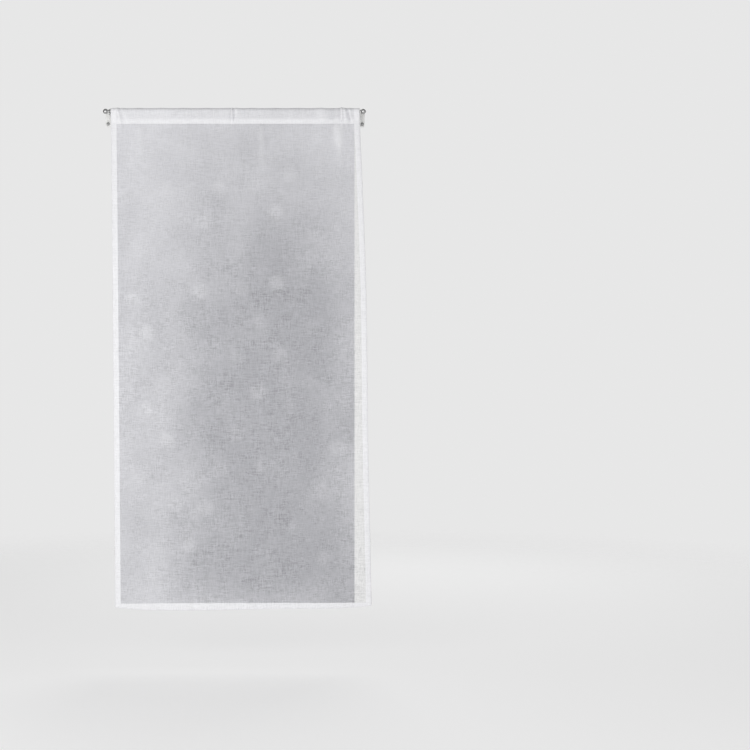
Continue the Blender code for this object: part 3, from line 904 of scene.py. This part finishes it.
def stitch(start, end, points, faces):
    """One stitch between two points: a low bar that dips into the cloth at both ends."""
    along = end - start
    side = np.cross(along / np.linalg.norm(along), (0.0, 1.0, 0.0))
    first = len(points)
    for share, swell in STITCH_RINGS:
        for k in range(STITCH_SIDES):
            angle = math.tau * k / STITCH_SIDES
            spoke = side * math.cos(angle) + np.array((0.0, math.sin(angle), 0.0))
            points.append(start + along * share + spoke * STITCH_RADIUS * swell)
    for ring in range(len(STITCH_RINGS) - 1):
        for k in range(STITCH_SIDES):
            a, b = first + ring * STITCH_SIDES + k, first + ring * STITCH_SIDES + (k + 1) % STITCH_SIDES
            faces.append((a, b, b + STITCH_SIDES, a + STITCH_SIDES))
    last = len(points) - STITCH_SIDES
    faces += [tuple(range(first, first + STITCH_SIDES)), tuple(range(last, last + STITCH_SIDES))]


def stitch_line(place, length, points, faces):
    """Stitches along one seam. Place gives the seam's point at a distance along it."""
    for k in range(int(length / STITCH_PITCH)):
        start = k * STITCH_PITCH
        stitch(place(start), place(start + STITCH_LENGTH), points, faces)


stitch_points, stitch_faces = [], []
hem_back = max(behind for inset, behind in HEM_TURN) * MM + STITCH_LIFT
pocket_back = POCKET_BACK - FACE_Y + STITCH_LIFT
side_length = float(lower_edge(0.0)) - STITCH_DROP - SIDE_SHORTER
for behind in (-STITCH_LIFT, hem_back):
    for share, inset in ((0.0, SIDE_LINE), (1.0, -SIDE_LINE)):
        stitch_line(
            lambda run, s=share, i=inset, b=behind: face_point(s, i, STITCH_DROP + SIDE_START + run, b),
            side_length, stitch_points, stitch_faces,
        )
    low_back = behind if behind < 0 else hem_back * LOWER_HEM_DEPTH
    stitch_line(
        lambda run, b=low_back: face_point(run / HEADING, 0.0, hem_fold(run / HEADING) + LOWER_LINE, b),
        HEADING - SEAM_SHORTER, stitch_points, stitch_faces,
    )
for behind in (-STITCH_LIFT, pocket_back):
    stitch_line(
        lambda run, b=behind: face_point(run / HEADING, 0.0, POCKET_LINE, b),
        HEADING - SEAM_SHORTER, stitch_points, stitch_faces,
    )


def sewing_thread():
    """White polyester thread whose twist shows as a fine change of tone."""
    made, shader, place = finish_of("sewing_thread", {"Roughness": 0.6, "Sheen Weight": 0.2})
    twist = place.noise((THREAD_TWIST, THREAD_TWIST, THREAD_TWIST), detail=1.0)
    twist.mix(*THREAD_WHITES).into(shader, "Base Color")
    return made


stitches = add_piece("hem_stitches", stitch_points, stitch_faces, sewing_thread())
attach(stitches, "root")


# Studio. A pale round floor under the curtain fades out into a pale surround, and large soft lights
# stand in front at the left and the right and behind, so that every side can be looked at.

FLOOR_LEVEL = -1.33
FLOOR_CENTRE = (0.32, 0.0)
FLOOR_RADIUS = 3.4
FLOOR_FADE = (1.5, 3.2)
FLOOR_SIDES = 96
FLOOR_FINISH = {
    "Base Color": grey(0.50),
    "Roughness": 0.9,
    "Emission Color": grey(1.0),
    "Emission Strength": 0.44,
}


def pale_floor():
    """Pale matt floor with a little light of its own, see-through towards its rim."""
    made, shader, place = finish_of("pale_floor", FLOOR_FINISH)
    away = place.node("ShaderNodeVectorMath", {"operation": "LENGTH"}, {0: place}, "Value")
    away.ramp(*FLOOR_FADE, 1.0, 0.0).into(shader, "Alpha")
    return made


turns = [math.tau * k / FLOOR_SIDES for k in range(FLOOR_SIDES)]
rim = [(FLOOR_RADIUS * math.cos(turn), FLOOR_RADIUS * math.sin(turn), 0.0) for turn in turns]
floor = add_piece("floor", rim, [range(FLOOR_SIDES)], pale_floor())
floor.location = (*FLOOR_CENTRE, FLOOR_LEVEL)

# Surround: its light by height, a brighter part behind the camera, and the tone that the camera sees
SKY_RANGE = (-0.6, 0.9)
SKY_LIGHT = (grey(0.24), grey(0.38))
FRONT_RANGE = (-0.95, -0.78)
FRONT_LIGHT = grey(1.3)
SEEN_SURROUND = grey(0.80)
world = bpy.data.worlds.new("surround")
bpy.context.scene.world = world
world.use_nodes = True
sky = Wire(world.node_tree)
towards = {0: sky.node("ShaderNodeTexCoord", output="Generated")}
height = sky.node("ShaderNodeSeparateXYZ", {}, towards, "Z")
front = sky.node("ShaderNodeSeparateXYZ", {}, towards, "Y")
glow = height.ramp(*SKY_RANGE).mix(*SKY_LIGHT)
glow = front.ramp(*FRONT_RANGE, 1.0, 0.0).mix(glow, FRONT_LIGHT)
seen = sky.node("ShaderNodeLightPath", output="Is Camera Ray")
seen.mix(glow, SEEN_SURROUND).into(world.node_tree.nodes["Background"], "Color")

LIGHTS = (
    # name, place, target, width, tall, watts
    ("key", (-0.75, -1.7, -0.60), (0.25, 0.0, -0.80), 1.2, 1.2, 13),
    ("fill", (1.8, -2.0, -0.55), (0.35, 0.0, -0.8), 1.4, 1.4, 9),
    ("back", (0.9, 2.2, 0.6), (0.3, 0.0, -0.6), 1.8, 1.8, 22),
)
for name, place, target, width, tall, watts in LIGHTS:
    lamp = bpy.data.lights.new(name, "AREA")
    lamp.shape, lamp.size, lamp.size_y, lamp.energy = "RECTANGLE", width, tall, watts
    holder = bpy.data.objects.new(name, lamp)
    bpy.context.scene.collection.objects.link(holder)
    holder.location = place
    aim = np.subtract(target, place)
    holder.rotation_euler = (
        math.atan2(math.hypot(aim[0], aim[1]), -aim[2]), 0.0, math.atan2(-aim[0], aim[1])
    )


# Camera. It looks straight at the curtain from the front, as the photograph does. The photograph's
# width of 750 pixels is 1.8 m at the rod, and the frame's origin lies at BRACKET_PIXEL in it.

PICTURE_WIDTH = 750
PIXEL = 2.4 * MM
BRACKET_PIXEL = (106.81, 111.3)
DISTANCE = 3.5
SENSOR = 36.0
camera = bpy.data.cameras.new("camera")
camera.sensor_width = SENSOR
camera.lens = camera.sensor_width * DISTANCE / (PICTURE_WIDTH * PIXEL)
viewer = bpy.data.objects.new("camera", camera)
bpy.context.scene.collection.objects.link(viewer)
viewer.location = (
    (PICTURE_WIDTH / 2 - BRACKET_PIXEL[0]) * PIXEL,
    ROD_AXIS[1] - DISTANCE,
    (BRACKET_PIXEL[1] - PICTURE_WIDTH / 2) * PIXEL,
)
viewer.rotation_euler = (math.pi / 2, 0.0, 0.0)
bpy.context.scene.camera = viewer
bpy.context.scene.view_settings.view_transform = "Standard"
